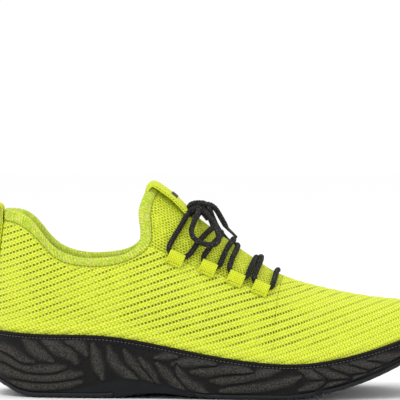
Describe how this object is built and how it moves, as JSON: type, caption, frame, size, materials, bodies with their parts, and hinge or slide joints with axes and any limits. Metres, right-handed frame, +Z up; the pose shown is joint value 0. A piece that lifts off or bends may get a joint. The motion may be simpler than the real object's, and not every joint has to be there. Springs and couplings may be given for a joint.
{
  "type": "running shoe",
  "caption": "Low running shoe, right foot: ribbed knit upper with a sock-like tongue, webbing lace loops, tied round laces, pull tabs and a carved foam sole with rubber tread.",
  "frame": {"origin": "on the ground, below the middle of the shoe's box", "axes": "+X to the toe, +Y to the medial side, +Z up"},
  "size_m": [0.284, 0.1052, 0.1354],
  "materials": {
    "foam_black": "matt, speckled foam",
    "rubber_black": "satin moulded rubber",
    "stitch_grey": "twisted thread",
    "knit_lime": "ribbed knit with rows of eyelets",
    "knit_fine": "fine grid knit",
    "rib_band": "marled rib knit",
    "padding_foam": "open-cell foam",
    "lining_lime": "brushed textile",
    "stiffener": "thermoformed sheet",
    "board_white": "non-woven board",
    "insole_fabric": "textile on foam",
    "tape_white": "bonded tape",
    "webbing_lime": "woven webbing",
    "lace_black": "braided cord",
    "aglet_black": "clear-coated tip"
  },
  "bodies": {
    "shoe": {"collar_band": "rib_band", "collar_foam": "padding_foam", "collar_lining": "lining_lime", "eyestay_tape_lateral": "tape_white", "eyestay_tape_medial": "tape_white", "heel_counter": "stiffener", "heel_lining": "lining_lime", "heel_tab_base": "webbing_lime", "insole": "insole_fabric", "instep_panel": "knit_fine", "knit_upper": "knit_lime", "lace_knot": "lace_black", "lace_loop_lateral_1": "webbing_lime", "lace_loop_lateral_2": "webbing_lime", "lace_loop_lateral_3": "webbing_lime", "lace_loop_lateral_4": "webbing_lime", "lace_loop_medial_1": "webbing_lime", "lace_loop_medial_2": "webbing_lime", "lace_loop_medial_3": "webbing_lime", "lace_loop_medial_4": "webbing_lime", "midsole": "foam_black", "outsole_forefoot": "rubber_black", "outsole_heel": "rubber_black", "shoelace": "lace_black", "sole_stitch": "stitch_grey", "strobel_board": "board_white", "tongue_tab": "webbing_lime"},
    "toe": {"outsole_toe": "rubber_black", "toe_puff": "stiffener"},
    "heel_loop": {"heel_tab_loop": "webbing_lime"},
    "bow_lateral": {"bow_loop_lateral": "lace_black"},
    "bow_medial": {"bow_loop_medial": "lace_black"},
    "end_lateral": {"lace_end_lateral": "lace_black", "aglet_lateral": "aglet_black"},
    "end_medial": {"lace_end_medial": "lace_black", "aglet_medial": "aglet_black"}
  },
  "joints": [
    {"name": "toe_flex", "type": "hinge", "parent": "shoe", "child": "toe", "pos_m": [0.062, 0, 0.008], "axis": [0, -1, 0], "range_deg": [0, 30], "stiffness_Nm_per_rad": 6, "deforming": ["midsole", "knit_upper", "insole", "strobel_board", "sole_stitch"]},
    {"name": "heel_tab_fold", "type": "hinge", "parent": "shoe", "child": "heel_loop", "pos_m": [-0.1383, 0, 0.1019], "axis": [0, -1, 0], "range_deg": [0, 25], "stiffness_Nm_per_rad": 0.05},
    {"name": "bow_swing_lateral", "type": "hinge", "parent": "shoe", "child": "bow_lateral", "pos_m": [-0.01, -0.0078, 0.1135], "axis": [-0.7659, 0, 0.6429], "range_deg": [0, 60]},
    {"name": "bow_swing_medial", "type": "hinge", "parent": "shoe", "child": "bow_medial", "pos_m": [-0.0108, 0.0078, 0.1136], "axis": [0.7659, 0, -0.6429], "range_deg": [0, 45]},
    {"name": "end_swing_lateral", "type": "hinge", "parent": "shoe", "child": "end_lateral", "pos_m": [-0.005, -0.0015, 0.1175], "axis": [0, -1, 0], "range_deg": [0, 60]},
    {"name": "end_swing_medial", "type": "hinge", "parent": "shoe", "child": "end_medial", "pos_m": [-0.0055, 0.0045, 0.1145], "axis": [0.7659, 0, -0.6429], "range_deg": [0, 60]}
  ]
}
